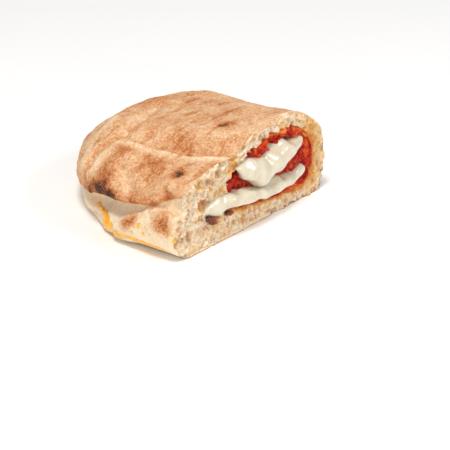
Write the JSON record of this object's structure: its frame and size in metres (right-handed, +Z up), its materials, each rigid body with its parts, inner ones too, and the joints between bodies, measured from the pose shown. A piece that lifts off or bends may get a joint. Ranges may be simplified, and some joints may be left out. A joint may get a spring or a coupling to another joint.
{
  "type": "calzone",
  "caption": "Half of a baked folded calzone, cut across the middle, with tomato sauce and melted white cheese in the cut.",
  "frame": {"origin": "centre of the bounding box in plan, at the height of the flat underside", "axes": "+Z up from the flat underside; -Y out of the cut; -X towards the sealed rim; +X towards the fold; +Y towards the tip"},
  "size_m": [0.1398, 0.1272, 0.0576],
  "materials": {
    "baked_dough": "matt, browned crust and pale open crumb",
    "tomato_sauce": "wet and chunky",
    "mozzarella": "melted, smooth and glossy"
  },
  "bodies": {
    "root": {"dough": "baked_dough", "tomato_sauce": "tomato_sauce", "mozzarella_upper": "mozzarella", "mozzarella_lower": "mozzarella"}
  },
  "joints": []
}
